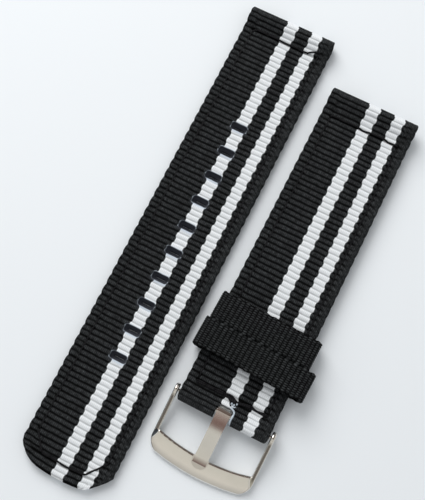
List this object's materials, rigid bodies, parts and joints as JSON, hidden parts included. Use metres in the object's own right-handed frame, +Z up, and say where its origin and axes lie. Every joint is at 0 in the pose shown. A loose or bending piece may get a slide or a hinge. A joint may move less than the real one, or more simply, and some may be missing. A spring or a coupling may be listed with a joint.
{
  "type": "watch strap",
  "caption": "Striped nylon watch strap in two halves, with melted holes, a pin buckle on a sprung bar and loose keeper loops.",
  "frame": {"origin": "middle of the set's base, on the table", "axes": "+X across the straps from the long half to the short half, +Y along them towards the watch, +Z up"},
  "size_m": [0.0522, 0.1203, 0.0071],
  "materials": {
    "webbing": "ribbed woven nylon, black with two white stripes",
    "keeper_webbing": "ribbed woven black nylon",
    "thread": "black sewing thread",
    "buckle_metal": "polished, slightly warm nickel",
    "bar_steel": "turned steel"
  },
  "bodies": {
    "straps": {"long_strap_webbing": "webbing", "short_strap_webbing": "webbing", "long_lug_stitch": "thread", "long_left_edge_stitch": "thread", "long_right_edge_stitch": "thread", "long_tip_stitch": "thread", "short_lug_stitch": "thread", "short_left_edge_stitch": "thread", "short_right_edge_stitch": "thread", "short_buckle_stitch": "thread", "spring_bar_tube": "bar_steel", "spring_bar_coil": "bar_steel"},
    "frame": {"buckle_frame": "buckle_metal"},
    "tongue": {"buckle_tongue": "buckle_metal"},
    "left_pivot": {"spring_bar_pivot_left": "bar_steel"},
    "right_pivot": {"spring_bar_pivot_right": "bar_steel"},
    "upper_loop": {"upper_keeper": "keeper_webbing", "upper_keeper_seam": "thread"},
    "lower_loop": {"lower_keeper": "keeper_webbing", "lower_keeper_seam": "thread"}
  },
  "joints": [
    {"name": "frame_swing", "type": "hinge", "parent": "straps", "child": "frame", "pos_m": [0.01154, -0.031, 0.0031], "axis": [-1, 0, 0], "range_deg": [0, 40]},
    {"name": "tongue_swing", "type": "hinge", "parent": "frame", "child": "tongue", "pos_m": [0.01154, -0.031, 0.0031], "axis": [-1, 0, 0], "range_deg": [0, 60]},
    {"name": "left_pivot_press", "type": "slide", "parent": "straps", "child": "left_pivot", "axis": [1, 0, 0], "range_m": [0, 0.0008], "stiffness_N_per_m": 500, "springref_m": -0.002, "deforming": ["spring_bar_coil"]},
    {"name": "right_pivot_press", "type": "slide", "parent": "straps", "child": "right_pivot", "axis": [-1, 0, 0], "range_m": [0, 0.0008], "stiffness_N_per_m": 500, "springref_m": -0.002, "deforming": ["spring_bar_coil"]},
    {"name": "upper_keeper_slide", "type": "slide", "parent": "straps", "child": "upper_loop", "axis": [0, 1, 0], "range_m": [0, 0.05]},
    {"name": "lower_keeper_slide", "type": "slide", "parent": "straps", "child": "lower_loop", "axis": [0, -1, 0], "range_m": [0, 0.005]}
  ]
}
